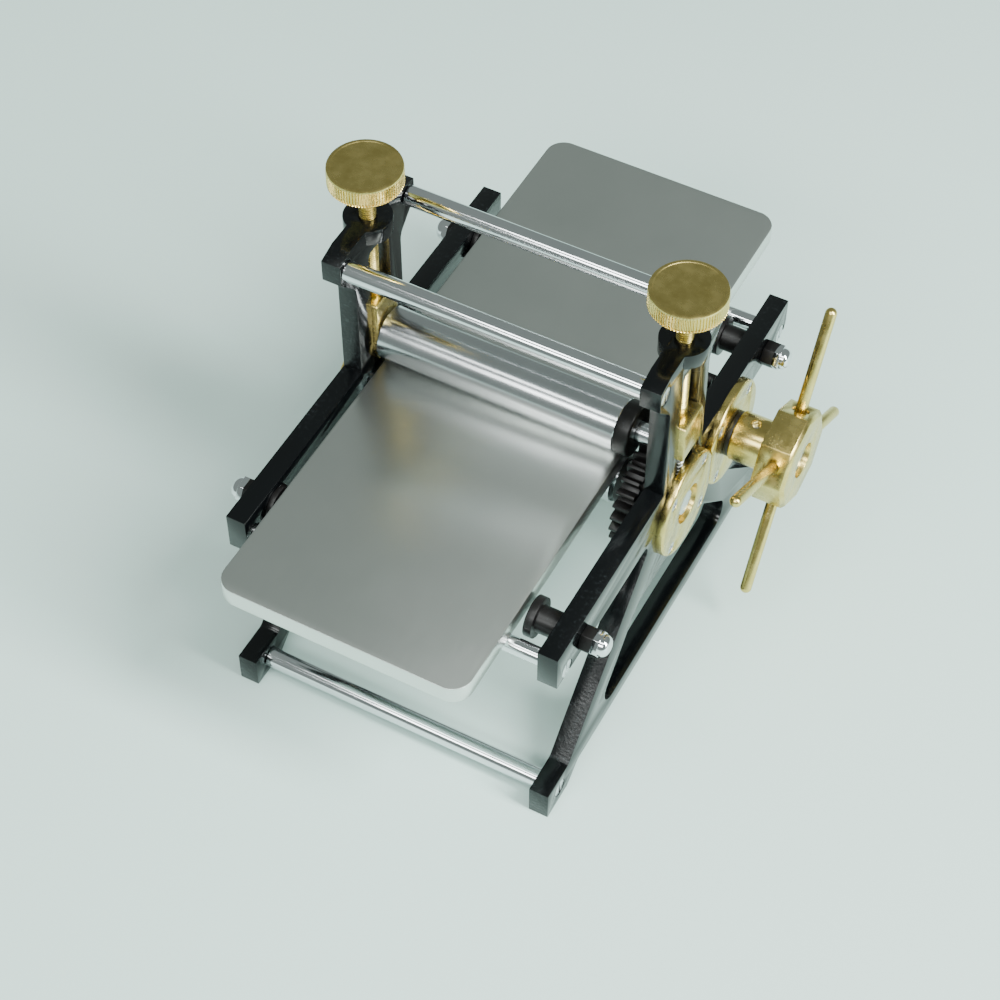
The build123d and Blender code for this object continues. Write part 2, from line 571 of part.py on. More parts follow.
def shaft_collar():
    """The thin dark collar between the bearing and the sleeve."""
    start = FLANGE_OUTER_X + FACE_GAP
    collar = rod_x(start, SLEEVE_START_X, HANDLE_Y, LOWER_AXIS_Z, SHAFT_COLLAR_R)
    return collar - rod_x(start - 1, SLEEVE_START_X + 1, HANDLE_Y, LOWER_AXIS_Z, HANDLE_SHAFT_R + FIT)


def handle_sleeve():
    """The sleeve inside the hub, with a set-screw hole on top."""
    sleeve = rod_x(SLEEVE_START_X, HUB_START_X, HANDLE_Y, LOWER_AXIS_Z, SLEEVE_R)
    sleeve = chamfer(sleeve.edges().filter_by(GeomType.CIRCLE).sort_by(Axis.X)[0], FLANGE_CHAMFER)
    sleeve -= rod_x(SLEEVE_START_X - 1, HUB_START_X + 1, HANDLE_Y, LOWER_AXIS_Z, HANDLE_SHAFT_R + FIT)
    hole_x = SLEEVE_START_X + SLEEVE_LENGTH / 2
    return sleeve - rod_z(LOWER_AXIS_Z, LOWER_AXIS_Z + SLEEVE_R + 1, hole_x, HANDLE_Y, SLEEVE_HOLE_R + FIT)


def sleeve_set_screw():
    """The grub screw that clamps the sleeve to the shaft."""
    x = SLEEVE_START_X + SLEEVE_LENGTH / 2
    bottom = LOWER_AXIS_Z + HANDLE_SHAFT_R + FIT
    return rod_z(bottom, LOWER_AXIS_Z + SLEEVE_R - SLEEVE_HOLE_R, x, HANDLE_Y, SLEEVE_HOLE_R)


def along_spoke(index, solid):
    """A solid standing on the handle's axis, turned to one spoke's direction."""
    turn = -SPOKE_LEAN + index * 360 / SPOKE_COUNT
    return Pos(HUB_START_X + HUB_LENGTH / 2, HANDLE_Y, LOWER_AXIS_Z) * Rot(turn, 0, 0) * solid


def handle_hub():
    """The octagonal hub, with a seat for a spoke in every second face."""
    half_side = 90 / SPOKE_COUNT
    octagon = RegularPolygon(HUB_INRADIUS, 2 * SPOKE_COUNT, major_radius=False)
    profile = Pos(HANDLE_Y, LOWER_AXIS_Z) * Rot(0, 0, half_side - SPOKE_LEAN) * octagon
    hub = prism_x(HUB_START_X, HUB_END_X, profile)
    hub = chamfer(hub.faces().sort_by(Axis.X)[-1].edges(), HUB_CHAMFER)
    hub -= rod_x(HUB_START_X - 1, HUB_END_X + 1, HANDLE_Y, LOWER_AXIS_Z, HANDLE_SHAFT_R + FIT)
    hub -= rod_x(HUB_END_X - HUB_RECESS_DEPTH, HUB_END_X + 1, HANDLE_Y, LOWER_AXIS_Z, HUB_RECESS_R)
    for index in range(SPOKE_COUNT):
        seat = rod_z(HUB_INRADIUS - SPOKE_SEAT_DEPTH - FIT, HUB_INRADIUS + 1, 0, 0, SPOKE_R + FIT)
        seat += rod_z(HUB_INRADIUS - SPOKE_COUNTERBORE_DEPTH, HUB_INRADIUS + 1, 0, 0, SPOKE_COUNTERBORE_R)
        hub -= along_spoke(index, seat)
    return hub


def handle_spoke(index):
    """A round spoke with a domed end."""
    spoke = rod_z(HUB_INRADIUS - SPOKE_SEAT_DEPTH, SPOKE_TIP_RADIUS - SPOKE_R, 0, 0, SPOKE_R)
    spoke += Pos(0, 0, SPOKE_TIP_RADIUS - SPOKE_R) * Sphere(SPOKE_R)
    return along_spoke(index, spoke)


# ---- assembly ------------------------------------------------------------------------------------
def frame_nodes():
    """The plates, tie rods, bearings, guides and their fasteners."""
    left_bearing = flanged_bearing(0, LOWER_JOURNAL_R, recessed=True, trimmed=False)
    nodes = {
        "right_side_plate": side_plate([0, HANDLE_Y]),
        "left_side_plate": mirror(side_plate([0]), about=Plane.YZ),
        "right_roller_bearing": flanged_bearing(0, LOWER_JOURNAL_R, recessed=True, trimmed=True),
        "handle_bearing": flanged_bearing(HANDLE_Y, HANDLE_SHAFT_R, recessed=False, trimmed=True),
        "left_roller_bearing": mirror(left_bearing, about=Plane.YZ),
    }
    screws = []
    for name, radius, y, z in tie_rod_places():
        nodes[name + "_tie_rod"] = tie_rod(radius, y, z)
        screws += both_sides(tie_screw(y, z))
    nodes["tie_rod_screws"] = screws
    roller_screws = [flange_screw(y, z) for y, z in flange_screw_places(0)]
    handle_screws = [flange_screw(y, z) for y, z in flange_screw_places(HANDLE_Y)]
    left_screws = [mirror(screw, about=Plane.YZ) for screw in roller_screws]
    nodes["bearing_screws"] = roller_screws + handle_screws + left_screws
    studs, hex_nuts, acorn_nuts = [], [], []
    for name, y in (("front", GUIDE_FRONT_Y), ("rear", GUIDE_REAR_Y)):
        nodes[name + "_right_bed_guide"] = long_guide(y)
        nodes[name + "_left_bed_guide"] = short_guide(y)
        studs += guide_studs(y)
        hex_nuts += both_sides(hex_nut(y))
        acorn_nuts += both_sides(acorn_nut(y))
    nodes["guide_studs"] = studs
    nodes["guide_hex_nuts"] = hex_nuts
    nodes["guide_acorn_nuts"] = acorn_nuts
    return nodes


def roller_nodes():
    """The bed, the two rollers and the drive gear."""
    return {
        "bed": bed(),
        "lower_roller": lower_roller(),
        "drive_gear": hubbed_gear(DRIVE_TEETH, 0, 0, LOWER_JOURNAL_R),
        "drive_gear_set_screw": gear_set_screw(0, LOWER_JOURNAL_R),
        "upper_roller": upper_roller(),
        "upper_roller_collar": upper_collar(),
    }


def pressure_nodes():
    """The blocks, springs, screws and knobs at both ends of the upper roller."""
    nodes = {}
    makers = {
        "pressure_block": pressure_block,
        "lift_spring": lift_spring,
        "pressure_screw": pressure_screw,
        "pressure_knob": pressure_knob,
    }
    for name, make in makers.items():
        right, left = both_sides(make())
        nodes["right_" + name] = right
        nodes["left_" + name] = left
    return nodes


def handle_nodes():
    """The pinion and everything that turns with the handle."""
    half_tooth = math.pi / PINION_TEETH
    nodes = {
        "drive_pinion": hubbed_gear(PINION_TEETH, half_tooth, HANDLE_Y, HANDLE_SHAFT_R),
        "pinion_set_screw": gear_set_screw(HANDLE_Y, HANDLE_SHAFT_R),
        "handle_shaft": handle_shaft(),
        "shaft_collar": shaft_collar(),
        "handle_sleeve": handle_sleeve(),
        "sleeve_set_screw": sleeve_set_screw(),
        "handle_hub": handle_hub(),
    }
    for index in range(SPOKE_COUNT):
        nodes["handle_spoke_" + str(index + 1)] = handle_spoke(index)
    return nodes


def main():
    """Write one file for each node."""
    os.makedirs("parts", exist_ok=True)
    nodes = {**frame_nodes(), **roller_nodes(), **pressure_nodes(), **handle_nodes()}
    to_origin = Location((-ORIGIN_X, -ORIGIN_Y, 0))
    for name, shape in nodes.items():
        solids = shape if isinstance(shape, list) else [shape]
        pieces = [solid.moved(to_origin) for solid in solids]
        whole = Compound(children=pieces) if len(pieces) > 1 else pieces[0]
        export_step(whole, os.path.join("parts", name + ".step"))


main()
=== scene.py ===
import json
from math import pi, radians

import bpy
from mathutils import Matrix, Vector


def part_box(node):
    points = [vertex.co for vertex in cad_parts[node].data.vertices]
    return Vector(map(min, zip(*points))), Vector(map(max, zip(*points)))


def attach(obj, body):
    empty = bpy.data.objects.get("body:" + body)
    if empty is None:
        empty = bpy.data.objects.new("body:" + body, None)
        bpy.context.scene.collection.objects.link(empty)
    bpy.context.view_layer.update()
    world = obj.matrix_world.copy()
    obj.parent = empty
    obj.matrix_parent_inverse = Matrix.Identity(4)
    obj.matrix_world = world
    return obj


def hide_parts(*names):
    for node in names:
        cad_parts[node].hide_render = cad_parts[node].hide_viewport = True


bl_info = {
    "name": "Tabletop Etching Press",
    "version": (1, 0, 0),
    "blender": (4, 5, 0),
    "location": "3D View > Sidebar > Press",
    "description": "Models and finishes a small geared etching press on its packed frame",
    "category": "Object",
}

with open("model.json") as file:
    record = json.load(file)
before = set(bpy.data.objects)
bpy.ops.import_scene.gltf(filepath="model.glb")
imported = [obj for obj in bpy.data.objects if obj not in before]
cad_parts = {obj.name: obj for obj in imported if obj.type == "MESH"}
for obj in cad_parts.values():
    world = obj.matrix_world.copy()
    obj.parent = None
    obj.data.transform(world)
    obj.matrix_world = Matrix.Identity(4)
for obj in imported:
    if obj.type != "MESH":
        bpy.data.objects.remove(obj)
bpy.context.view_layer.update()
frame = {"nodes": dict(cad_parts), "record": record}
MM = 0.001

SMOOTH_BELOW = radians(34)      # faces that meet at less than this are shaded as one
KNURL_SMOOTH_BELOW = radians(24)
BEVEL_ABOVE = radians(38)       # edges sharper than this are broken
BEVEL_STEPS = 2
WELD = 0.001 * MM               # points closer than this are one point

NODE_SLOT = {entry["node"]: entry["material_slot"] for entry in frame["record"]["subparts"]}
NODE_BODY = {
    node: body
    for body, nodes in frame["record"]["behaviour"]["bodies"].items()
    for node in nodes
}


# ---- shader building -------------------------------------------------------------------------------

class Value:
    """A shader socket that can be used in sums, differences and products."""

    def __init__(self, shader, socket):
        self.shader = shader
        self.socket = socket

    def _math(self, operation, first, second):
        return self.shader.node("ShaderNodeMath", {"operation": operation}, {0: first, 1: second})

    def __add__(self, other):
        return self._math("ADD", self, other)

    def __radd__(self, other):
        return self._math("ADD", other, self)

    def __sub__(self, other):
        return self._math("SUBTRACT", self, other)

    def __rsub__(self, other):
        return self._math("SUBTRACT", other, self)

    def __mul__(self, other):
        return self._math("MULTIPLY", self, other)


class Shader:
    """One material's node tree, built a node at a time."""

    def __init__(self, name):
        self.material = bpy.data.materials.new(name)
        self.material.use_nodes = True
        self.tree = self.material.node_tree
        self.surface = self.tree.nodes["Principled BSDF"]

    def node(self, kind, settings, inputs, output=0):
        """A node of that kind: its settings first, then its sockets' values or links."""
        made = self.tree.nodes.new(kind)
        stops = settings.pop("stops", None)
        for name, value in settings.items():
            setattr(made, name, value)
        if stops:
            made.color_ramp.elements[0].position, made.color_ramp.elements[1].position = stops
        for key, value in inputs.items():
            self.feed(made.inputs[key], value)
        return Value(self, made.outputs[output])

    def feed(self, socket, value):
        """Links a Value to the socket, or sets the socket to a plain value."""
        if isinstance(value, Value):
            self.tree.links.new(value.socket, socket)
        else:
            socket.default_value = value

    def place(self, centre=(0, 0, 0), scale=(1, 1, 1)):
        """The piece's own coordinates in metres, measured from a centre and stretched."""
        own = self.node("ShaderNodeTexCoord", {}, {}, "Object")
        moved = self.node("ShaderNodeVectorMath", {"operation": "SUBTRACT"}, {0: own, 1: centre})
        return self.node("ShaderNodeVectorMath", {"operation": "MULTIPLY"}, {0: moved, 1: scale})

    def noise(self, vector, scale, detail=3.0, roughness=0.5):
        """Soft noise between 0 and 1."""
        inputs = {"Vector": vector, "Scale": scale, "Detail": detail, "Roughness": roughness}
        return self.node("ShaderNodeTexNoise", {}, inputs)

    def ramp(self, factor, low, high):
        """The factor stretched so that low becomes 0 and high becomes 1."""
        return self.node("ShaderNodeValToRGB", {"stops": (low, high)}, {"Fac": factor})

    def blend(self, factor, first, second):
        """A colour between two colours, the first of which may be a blend itself."""
        start = first if isinstance(first, Value) else (*first, 1.0)
        inputs = {0: factor, 6: start, 7: (*second, 1.0)}
        return self.node("ShaderNodeMix", {"data_type": "RGBA"}, inputs, 2)

    def part(self, vector, axis):
        """The X, Y or Z part of a vector."""
        return self.node("ShaderNodeSeparateXYZ", {}, {0: vector}, "XYZ".index(axis))

    def bump(self, height, strength, distance):
        """A bump from a height between 0 and 1; distance is in metres."""
        inputs = {"Height": height, "Strength": strength, "Distance": distance}
        return self.node("ShaderNodeBump", {}, inputs)

    def finish(self, **sockets):
        """Feeds the surface's sockets, named with underscores for spaces."""
        for name, value in sockets.items():
            self.feed(self.surface.inputs[name.replace("_", " ")], value)
        return self.material


def hairlines(shader, along, fine):
    """Thin streaks, sixty times as long as they are wide, along one axis."""
    scale = [fine, fine, fine]
    scale["XYZ".index(along)] = fine / 60
    return shader.noise(shader.place(scale=scale), 1.0, 2.0, 0.6)


def turned_rings(shader, centre, axis, fine):
    """Fine concentric rings about an axis, as a lathe tool leaves."""
    across = [1.0, 1.0, 1.0]
    across["XYZ".index(axis)] = 0.0
    flat = shader.place(centre, across)
    radial = shader.node("ShaderNodeVectorMath", {"operation": "LENGTH"}, {0: flat}, "Value")
    spread = shader.node("ShaderNodeCombineXYZ", {}, {0: radial})
    return shader.noise(spread, fine, 2.0, 0.7)


# ---- materials ---------------------------------------------------------------------------------------

def black_cast(colours):
    """Glossy black over a casting: smooth on the machined faces, gritty on parts of the narrow edges."""
    shader = Shader("Black cast metal")
    own = shader.place()
    normal = shader.node("ShaderNodeNewGeometry", {}, {}, "Normal")
    sideways = shader.node("ShaderNodeMath", {"operation": "ABSOLUTE"}, {0: shader.part(normal, "X")})
    edges = 1.0 - shader.ramp(sideways, 0.35, 0.75)
    level = shader.ramp(shader.part(normal, "Z"), 0.93, 0.99)
    zones = shader.ramp(shader.noise(own, 34.0, 2.0), 0.4, 0.55)
    rough_zone = edges * zones * (1.0 - level * 0.85)
    grit = shader.noise(own, 1050.0, 3.0, 0.6)
    pits = shader.ramp(shader.noise(own, 900.0, 4.0, 0.75), 0.55, 0.68)
    patches = shader.noise(own, 70.0, 3.0)
    scuffs = shader.ramp(hairlines(shader, "Y", 2400.0), 0.68, 0.76)
    colour = shader.blend(pits * rough_zone * 0.6 + scuffs * 0.05, colours.casting_dark, colours.casting_worn)
    gloss = 0.12 + rough_zone * 0.16 + patches * 0.08 + scuffs * 0.08
    height = grit * rough_zone + grit * 0.04
    return shader.finish(
        IOR=1.42, Base_Color=colour, Roughness=gloss, Normal=shader.bump(height, 0.5, 0.22 * MM)
    )


def black_steel(colours):
    """Blackened steel with faint turning marks."""
    shader = Shader("Blackened steel")
    marks = hairlines(shader, "Y", 1800.0)
    dust = shader.ramp(shader.noise(shader.place(), 900.0, 4.0, 0.7), 0.58, 0.75)
    colour = shader.blend(dust * 0.35, colours.blacking, colours.casting_worn)
    gloss = 0.3 + marks * 0.18 + dust * 0.15
    return shader.finish(
        Base_Color=colour, Roughness=gloss, Metallic=0.35, Normal=shader.bump(marks, 0.12, 0.05 * MM)
    )


def satin_aluminium(colours):
    """Fine satin aluminium: a grain along the bed, faint scratches and duller handled patches."""
    shader = Shader("Satin aluminium")
    own = shader.place()
    grain = hairlines(shader, "Y", 5200.0)
    cloud = shader.noise(own, 26.0, 4.0, 0.55)
    lines = shader.ramp(shader.noise(shader.place(scale=(2600, 260, 2600)), 1.0, 2.0, 0.8), 0.7, 0.74)
    nicks = shader.ramp(shader.noise(shader.place(scale=(330, 2900, 330)), 1.0, 2.0, 0.8), 0.71, 0.75)
    where = shader.ramp(shader.noise(own, 22.0, 1.0), 0.6, 0.72)
    scratches = (lines + nicks) * where
    colour = shader.blend(cloud * 0.6 + scratches * 0.5, colours.aluminium_dark, colours.aluminium_light)
    gloss = 0.24 + grain * 0.08 + cloud * 0.06 + scratches * 0.1
    height = grain * 0.5 - scratches * 0.3
    return shader.finish(
        Base_Color=colour, Roughness=gloss, Metallic=1.0, Normal=shader.bump(height, 0.1, 0.02 * MM)
    )


def polished_chrome(colours):
    """Chrome-plated bar: near mirror, with a faint haze and hairline rings."""
    shader = Shader("Polished chrome")
    haze = shader.noise(shader.place(), 120.0, 4.0, 0.6)
    rings = shader.noise(shader.place(scale=(4200, 40, 40)), 1.0, 2.0, 0.6)
    colour = shader.blend(haze, colours.chrome_dark, colours.chrome_light)
    gloss = 0.05 + haze * 0.06 + rings * 0.03
    return shader.finish(
        Base_Color=colour, Roughness=gloss, Metallic=1.0, Normal=shader.bump(rings, 0.04, 0.01 * MM)
    )


def ground_steel(colours):
    """Ground roller steel: rings round the barrel and a satin sheen."""
    shader = Shader("Ground steel")
    haze = shader.noise(shader.place(), 60.0, 3.0)
    rings = shader.noise(shader.place(scale=(6000, 60, 60)), 1.0, 3.0, 0.7)
    colour = shader.blend(haze * 0.5 + rings * 0.4, colours.steel_dark, colours.steel_light)
    gloss = 0.12 + haze * 0.05 + rings * 0.08
    return shader.finish(
        Base_Color=colour, Roughness=gloss, Metallic=1.0, Normal=shader.bump(rings, 0.08, 0.015 * MM)
    )


def bright_steel(colours):
    """Bright fasteners and spring wire, lightly handled."""
    shader = Shader("Bright steel")
    haze = shader.noise(shader.place(), 420.0, 4.0, 0.6)
    marks = hairlines(shader, "Z", 3000.0)
    colour = shader.blend(haze, colours.steel_dark, colours.steel_light)
    gloss = 0.16 + haze * 0.14 + marks * 0.08
    return shader.finish(
        Base_Color=colour, Roughness=gloss, Metallic=1.0, Normal=shader.bump(marks, 0.1, 0.02 * MM)
    )


def brass(colours, name, centre, axis):
    """Turned brass: rings about the piece's axis, hairline scratches and darker handled patches."""
    shader = Shader(name)
    own = shader.place()
    rings = turned_rings(shader, centre, axis, 5200.0)
    patches = shader.ramp(shader.noise(own, 230.0, 5.0, 0.62), 0.36, 0.68)
    stains = shader.ramp(shader.noise(own, 90.0, 4.0, 0.7), 0.52, 0.74)
    scratches = shader.ramp(shader.noise(shader.place(scale=(1500, 240, 900)), 1.0, 3.0, 0.8), 0.66, 0.72)
    fresh = shader.blend(patches, colours.brass_dark, colours.brass_light)
    colour = shader.blend(stains * 0.15, fresh, colours.brass_stain)
    gloss = 0.17 + patches * 0.08 + rings * 0.1 + stains * 0.12 + scratches * 0.12
    height = rings * 0.6 - scratches * 0.7
    return shader.finish(
        Base_Color=colour, Roughness=gloss, Metallic=1.0, Normal=shader.bump(height, 0.09, 0.02 * MM)
    )


def pale_paper(colours):
    """The pale floor: faint fibre and a soft tone change."""
    shader = Shader("Pale floor")
    tone = shader.noise(shader.place(), 3.0, 2.0)
    fibre = shader.noise(shader.place(), 900.0, 2.0)
    colour = shader.blend(tone * 0.8 + fibre * 0.2, colours.floor_dark, colours.floor_light)
    return shader.finish(Base_Color=colour, Roughness=0.55, Normal=shader.bump(fibre, 0.05, 0.05 * MM))


# ---- modelling helpers -------------------------------------------------------------------------------

def corners(node):
    """The lowest and the highest corner of a node's box."""
    return [Vector(corner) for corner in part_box(node)]


def middle(node):
    """The centre of a node's box."""
    low, high = corners(node)
    return (low + high) / 2


def activate(piece):
    """Leaves only this piece selected, and active, in object mode."""
    if bpy.context.mode != "OBJECT":
        bpy.ops.object.mode_set(mode="OBJECT")
    bpy.ops.object.select_all(action="DESELECT")
    if piece:
        piece.select_set(True)
        bpy.context.view_layer.objects.active = piece


def edit_all(piece):
    """Opens the piece in edit mode with everything selected."""
    activate(piece)
    bpy.ops.object.mode_set(mode="EDIT")
    bpy.ops.mesh.select_all(action="SELECT")


def select_where(piece, kind, test):
    """Selects the vertices, edges or faces that pass a test, and opens edit mode on them."""
    edit_all(piece)
    bpy.ops.mesh.select_mode(type={"vertices": "VERT", "edges": "EDGE", "polygons": "FACE"}[kind])
    bpy.ops.mesh.select_all(action="DESELECT")
    bpy.ops.object.mode_set(mode="OBJECT")
    for item in getattr(piece.data, kind):
        item.select = test(item)
    bpy.ops.object.mode_set(mode="EDIT")


def close_up(piece):
    """Merges doubles, turns the faces outwards and shades the piece by angle."""
    edit_all(piece)
    bpy.ops.mesh.remove_doubles(threshold=WELD / 2)
    bpy.ops.mesh.normals_make_consistent(inside=False)
    activate(piece)
    bpy.ops.object.shade_smooth_by_angle(angle=SMOOTH_BELOW)


def soften(piece, width):
    """Rounds the piece's sharp edges with an applied bevel."""
    activate(piece)
    bevel = piece.modifiers.new("Softened edges", "BEVEL")
    bevel.width = width
    bevel.segments = BEVEL_STEPS
    bevel.limit_method = "ANGLE"
    bevel.angle_limit = BEVEL_ABOVE
    bpy.ops.object.modifier_apply(modifier=bevel.name)
    bpy.ops.object.shade_smooth_by_angle(angle=SMOOTH_BELOW)


def hand_over(piece, material, *nodes):
    """Gives the piece its material, and lets it stand for CAD nodes of one body."""
    piece.data.materials.clear()
    piece.data.materials.append(material)
    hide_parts(*nodes)
    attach(piece, NODE_BODY[nodes[0]])


def machined(node, width, material):
    """A copy of a CAD node, merged and cleaned, with its edges broken to the given width."""
    mesh = frame["nodes"][node].data.copy()
    piece = bpy.data.objects.new(node + "_machined", mesh)
    bpy.context.scene.collection.objects.link(piece)
    activate(piece)
    bpy.ops.mesh.customdata_custom_splitnormals_clear()
    edit_all(piece)
    bpy.ops.mesh.remove_doubles(threshold=WELD)
    bpy.ops.mesh.dissolve_limited(angle_limit=radians(0.4))
    soften(piece, width)
    hand_over(piece, material, node)
    return piece


def lathe(name, rings, centre, axis, sides):
    """A turned piece: a disc extruded through (height, radius) rings, then stood on its axis.

    Heights are measured from the centre along the axis.
    """
    activate(None)
    height, radius = rings[0]
    bpy.ops.mesh.primitive_circle_add(
        vertices=sides, radius=radius, fill_type="NGON", location=(0, 0, height)
    )
    piece = bpy.context.object
    piece.name = name
    bpy.ops.object.transform_apply()
    edit_all(piece)
    for next_height, next_radius in rings[1:]:
        bpy.ops.mesh.extrude_region_move(TRANSFORM_OT_translate={"value": (0, 0, next_height - height)})
        factor = next_radius / radius
        bpy.ops.transform.resize(value=(factor, factor, 1), center_override=(0, 0, next_height))
        height, radius = next_height, next_radius
    activate(piece)
    stand_at(piece, centre, axis)
    close_up(piece)
    return piece


def stand_at(piece, centre, axis):
    """Turns the piece's Z to the axis, moves it to its place and applies both."""
    activate(piece)
    piece.rotation_euler = {"X": (0, pi / 2, 0), "Y": (-pi / 2, 0, 0), "Z": (0, 0, 0)}[axis]
    piece.location = centre
    bpy.ops.object.transform_apply(location=True, rotation=True, scale=True)


# ---- settings ----------------------------------------------------------------------------------------

def colour(name, words, value):
    """A colour setting."""
    return bpy.props.FloatVectorProperty(
        name=name, description=words, default=value, subtype="COLOR", size=3, min=0, max=1
    )


def length(name, words, value_mm):
    """A length setting, given in millimetres and held in metres."""
    return bpy.props.FloatProperty(name=name, description=words, default=value_mm * MM, unit="LENGTH", min=0)


class PressSizes(bpy.types.PropertyGroup):
    """Sizes of the details that are modelled here."""

    casting_edge: length("Casting edge", "Radius on the side plates' edges", 0.35)
    machined_edge: length("Machined edge", "Broken edge on turned and milled pieces", 0.15)
    tooth_edge: length("Tooth edge", "Broken edge on the gears' teeth", 0.08)
    bed_corner: length("Bed corner", "Radius of the bed's corners", 6.0)
    bed_edge: length("Bed edge", "Bright chamfer round the bed's faces", 0.35)
    knurl_count: bpy.props.IntProperty(
        name="Knurl ridges", description="Ridges round a knob", default=76, min=24
    )
    knurl_depth: length("Knurl depth", "Depth of the knob's grooves", 0.38)
    knob_chamfer: length("Knob chamfer", "Smooth band above and below the knurl", 0.6)
    thread_pitch: length("Thread pitch", "Pitch of the pressure screws", 0.8)
    thread_depth: length("Thread depth", "Depth of the pressure screws' thread", 0.32)
    thread_clearance: length("Plain shank", "Shank between a block and its screw's thread", 3.0)
    screw_tip: length("Screw tip", "Radius of a pressure screw inside its block", 1.5)
    upper_journal: length("Upper journal", "Radius of the upper roller's journals", 3.0)
    lower_journal: length("Lower journal", "Radius of the lower roller's journals", 4.0)


class PressColours(bpy.types.PropertyGroup):
    """Colours of the press's finishes."""

    casting_dark: colour("Casting", "Black of the side plates", (0.0015, 0.0018, 0.0022))
    casting_worn: colour("Casting grit", "Specks in the rough cast edges", (0.045, 0.055, 0.06))
    blacking: colour("Blacking", "Black of the gears and guides", (0.008, 0.007, 0.007))
    aluminium_dark: colour("Aluminium shade", "Darker tone of the bed", (0.66, 0.68, 0.65))
    aluminium_light: colour("Aluminium light", "Lighter tone of the bed", (0.82, 0.84, 0.81))
    chrome_dark: colour("Chrome shade", "Hazed chrome", (0.7, 0.71, 0.74))
    chrome_light: colour("Chrome light", "Clean chrome", (0.86, 0.87, 0.89))
    steel_dark: colour("Steel shade", "Darker tone of the rollers", (0.52, 0.53, 0.55))
    steel_light: colour("Steel light", "Lighter tone of the rollers", (0.78, 0.79, 0.81))
    brass_dark: colour("Brass shade", "Handled brass", (0.6, 0.46, 0.15))
    brass_light: colour("Brass light", "Clean brass", (0.72, 0.57, 0.21))
    brass_stain: colour("Brass stain", "Tarnish on the brass", (0.38, 0.29, 0.09))
    floor_dark: colour("Floor shade", "Darker tone of the floor", (0.55, 0.71, 0.67))
    floor_light: colour("Floor light", "Lighter tone of the floor", (0.62, 0.79, 0.745))


class StageSettings(bpy.types.PropertyGroup):
    """Camera and light."""

    camera_place: bpy.props.FloatVectorProperty(
        name="Camera", description="Where the camera stands", default=(0.199, -0.4006, 0.581),
        subtype="TRANSLATION"
    )
    camera_turn: bpy.props.FloatProperty(
        name="Camera turn", description="Turn about the vertical", default=radians(28.35), subtype="ANGLE"
    )
    camera_down: bpy.props.FloatProperty(
        name="Camera tilt", description="Angle below the horizon", default=radians(51.06), subtype="ANGLE"
    )
    lens: bpy.props.FloatProperty(name="Lens", description="Focal length in millimetres", default=85.95)
    light_power: bpy.props.FloatProperty(name="Light", description="Power of the window light", default=52.0)
    room_light: bpy.props.FloatProperty(name="Room", description="Brightness of the dim room", default=0.3)


# ---- pieces ------------------------------------------------------------------------------------------

class PressOperator:
    """What every operator of the press shares."""

    bl_options = {"REGISTER", "UNDO"}

    def settings(self, context):
        """The sizes and the colours."""
        return context.scene.press_sizes, context.scene.press_colours


class MakeSidePlates(PressOperator, bpy.types.Operator):
    """Finish the two cast side plates"""

    bl_idname = "press.side_plates"
    bl_label = "Side plates"

    def execute(self, context):
        sizes, colours = self.settings(context)
        casting = black_cast(colours)
        for node in ("left_side_plate", "right_side_plate"):
            machined(node, sizes.casting_edge, casting)
        return {"FINISHED"}


class MakeTieRods(PressOperator, bpy.types.Operator):
    """Turn the chrome tie rods, with a small chamfer where they meet the plates"""

    bl_idname = "press.tie_rods"
    bl_label = "Tie rods"

    def execute(self, context):
        sizes, colours = self.settings(context)
        chrome = polished_chrome(colours)
        for node in NODE_SLOT:
            if not node.endswith("_tie_rod"):
                continue
            low, high = corners(node)
            half, radius = (high.x - low.x) / 2, (high.z - low.z) / 2
            edge = 2 * sizes.machined_edge
            rings = [
                (-half, radius - edge), (-half + edge, radius), (half - edge, radius), (half, radius - edge)
            ]
            hand_over(lathe(node + "_turned", rings, middle(node), "X", 96), chrome, node)
        return {"FINISHED"}


class MakeBed(PressOperator, bpy.types.Operator):
    """Mill the bed: round its corners, then chamfer the edges of both faces"""

    bl_idname = "press.bed"
    bl_label = "Bed"

    def execute(self, context):
        sizes, colours = self.settings(context)
        low, high = corners("bed")
        activate(None)
        bpy.ops.mesh.primitive_cube_add(size=1, location=(low + high) / 2)
        bed = context.object
        bed.name = "bed_milled"
        bed.scale = high - low
        bpy.ops.object.transform_apply(location=True, rotation=True, scale=True)
        points = bed.data.vertices

        def rise(edge):
            """The height between an edge's ends."""
            return abs(points[edge.vertices[0]].co.z - points[edge.vertices[1]].co.z)

        select_where(bed, "edges", lambda edge: rise(edge) > MM)
        bpy.ops.mesh.bevel(offset=sizes.bed_corner, segments=16, affect="EDGES")
        select_where(bed, "edges", lambda edge: rise(edge) < MM)
        bpy.ops.mesh.bevel(offset=sizes.bed_edge, segments=2, affect="EDGES")
        close_up(bed)
        hand_over(bed, satin_aluminium(colours), "bed")
        return {"FINISHED"}


